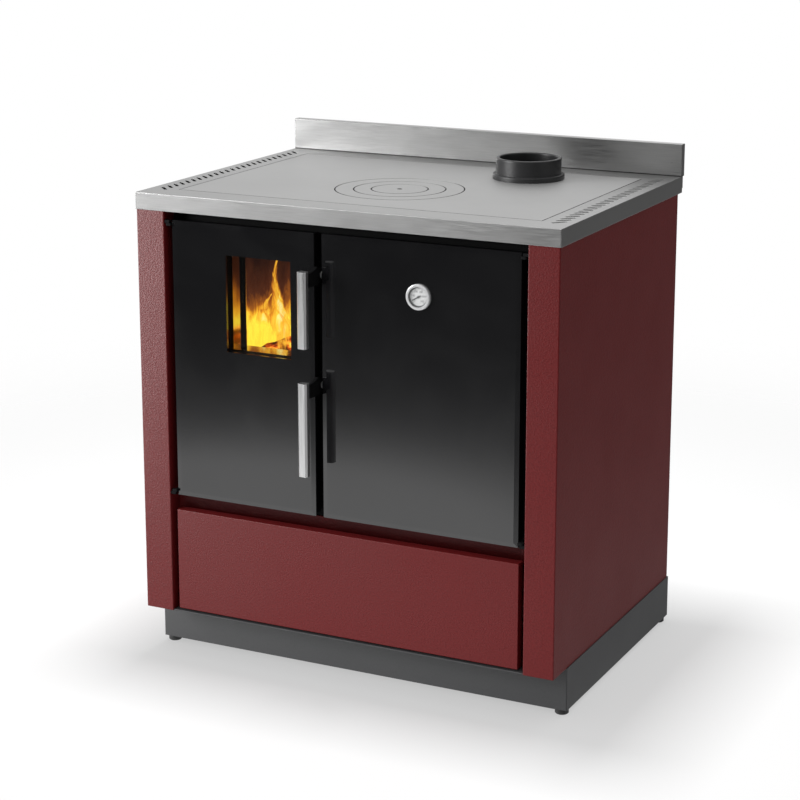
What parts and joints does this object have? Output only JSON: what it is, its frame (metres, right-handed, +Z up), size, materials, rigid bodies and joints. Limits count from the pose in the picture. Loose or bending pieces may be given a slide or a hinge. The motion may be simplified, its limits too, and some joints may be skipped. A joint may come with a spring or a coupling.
{
  "type": "wood-burning cookstove",
  "caption": "Free-standing wood-burning cookstove: steel cooktop with lift-out rings, glass fire and oven doors, lever handles, wood drawer and flue collar.",
  "frame": {"origin": "on the floor, in the middle of the stove's outline with handles and upstand", "axes": "+X to the right seen from the front, +Y to the back, +Z up"},
  "size_m": [0.8, 0.641, 0.909],
  "materials": {
    "red_enamel": "fine textured dark red paint",
    "stainless": "brushed stainless sheet",
    "ground_plate": "ground steel",
    "black_glass": "back-painted black ceramic glass, polished bevel",
    "clear_glass": "clear ceramic glass",
    "black_steel": "heat-resistant black paint",
    "bright_steel": "polished steel",
    "cast_iron": "black cast iron",
    "grey_plinth": "anthracite paint",
    "black_plastic": "moulded nylon on a steel stud",
    "zinc_sheet": "galvanised sheet",
    "oven_enamel": "speckled vitreous enamel",
    "firebrick": "pressed vermiculite board",
    "mineral_wool": "mineral wool slab",
    "gasket_rope": "braided sealing rope",
    "dial_white": "printed white dial",
    "needle_black": "black paint",
    "bezel_chrome": "polished chrome"
  },
  "bodies": {
    "carcass": {"plinth": "grey_plinth", "levelling_feet": "black_plastic", "base_pan": "zinc_sheet", "side_panel_left": "red_enamel", "side_panel_right": "red_enamel", "divider_shelf": "red_enamel", "shelf_ledges": "zinc_sheet", "worktop": "stainless", "backsplash": "stainless", "cooking_plate": "ground_plate", "flue_collar": "cast_iron", "front_frame": "black_steel", "firebox_shell": "black_steel", "fire_grate": "cast_iron", "log_guard": "cast_iron", "firebricks": "firebrick", "ash_pan": "zinc_sheet", "smoke_box": "black_steel", "air_duct": "zinc_sheet", "flap_hinge": "zinc_sheet", "back_panel": "zinc_sheet", "rear_screws": "zinc_sheet", "oven_liner": "oven_enamel", "oven_rack": "bright_steel", "oven_supports": "zinc_sheet", "insulation_slabs": "mineral_wool", "hinge_brackets": "black_steel", "latch_keepers": "black_steel", "door_magnets": "black_steel", "runner_channels": "zinc_sheet", "runner_brackets": "zinc_sheet"},
    "fire_door": {"fire_door_glass": "black_glass", "fire_door_frame": "black_steel", "fire_window_pane": "clear_glass", "pane_frame": "bright_steel", "fire_door_gasket": "gasket_rope", "fire_door_hinge_tabs": "black_steel", "handle_pivots": "bright_steel"},
    "upper_handle": {"upper_handle_bar": "bright_steel", "upper_handle_arm": "black_steel"},
    "lower_handle": {"lower_handle_bar": "bright_steel", "lower_handle_arm": "black_steel"},
    "oven_door": {"oven_door_glass": "black_glass", "oven_door_frame": "black_steel", "oven_door_inner_panel": "oven_enamel", "oven_door_gasket": "gasket_rope", "oven_door_hinge_tabs": "black_steel", "gauge_bezel": "bezel_chrome", "gauge_lens": "clear_glass", "gauge_dial": "dial_white", "gauge_case": "bezel_chrome"},
    "gauge_pointer": {"gauge_needle": "needle_black"},
    "drawer": {"drawer_front": "red_enamel", "drawer_box": "zinc_sheet", "drawer_rails": "zinc_sheet"},
    "outer_ring": {"ring_outer": "ground_plate"},
    "middle_ring": {"ring_middle": "ground_plate"},
    "centre_lid": {"ring_lid": "ground_plate"},
    "air_flap": {"air_flap": "zinc_sheet"}
  },
  "joints": [
    {"name": "fire_door_hinge", "type": "hinge", "parent": "carcass", "child": "fire_door", "pos_m": [-0.33625, -0.2655, 0.556], "axis": [0, 0, -1], "range_deg": [0, 110]},
    {"name": "oven_door_hinge", "type": "hinge", "parent": "carcass", "child": "oven_door", "pos_m": [0.33625, -0.2655, 0.556], "axis": [0, 0, 1], "range_deg": [0, 110]},
    {"name": "upper_handle_tip", "type": "hinge", "parent": "fire_door", "child": "upper_handle", "pos_m": [-0.0455, -0.252, 0.732], "axis": [-1, 0, 0], "range_deg": [0, 25]},
    {"name": "lower_handle_tip", "type": "hinge", "parent": "fire_door", "child": "lower_handle", "pos_m": [-0.0455, -0.252, 0.54], "axis": [-1, 0, 0], "range_deg": [0, 25]},
    {"name": "drawer_slide", "type": "slide", "parent": "carcass", "child": "drawer", "axis": [0, -1, 0], "range_m": [0, 0.4]},
    {"name": "outer_ring_lift", "type": "slide", "parent": "carcass", "child": "outer_ring", "axis": [0, 0, 1], "range_m": [0, 0.1]},
    {"name": "middle_ring_lift", "type": "slide", "parent": "outer_ring", "child": "middle_ring", "axis": [0, 0, 1], "range_m": [0, 0.1]},
    {"name": "centre_lid_lift", "type": "slide", "parent": "middle_ring", "child": "centre_lid", "axis": [0, 0, 1], "range_m": [0, 0.1]},
    {"name": "gauge_sweep", "type": "hinge", "parent": "oven_door", "child": "gauge_pointer", "pos_m": [0.14725, -0.2693, 0.715], "axis": [0, 1, 0], "range_deg": [-15, 255]},
    {"name": "air_flap_swing", "type": "hinge", "parent": "carcass", "child": "air_flap", "pos_m": [-0.18975, 0.299, 0.4445], "axis": [1, 0, 0], "range_deg": [0, 60]}
  ]
}
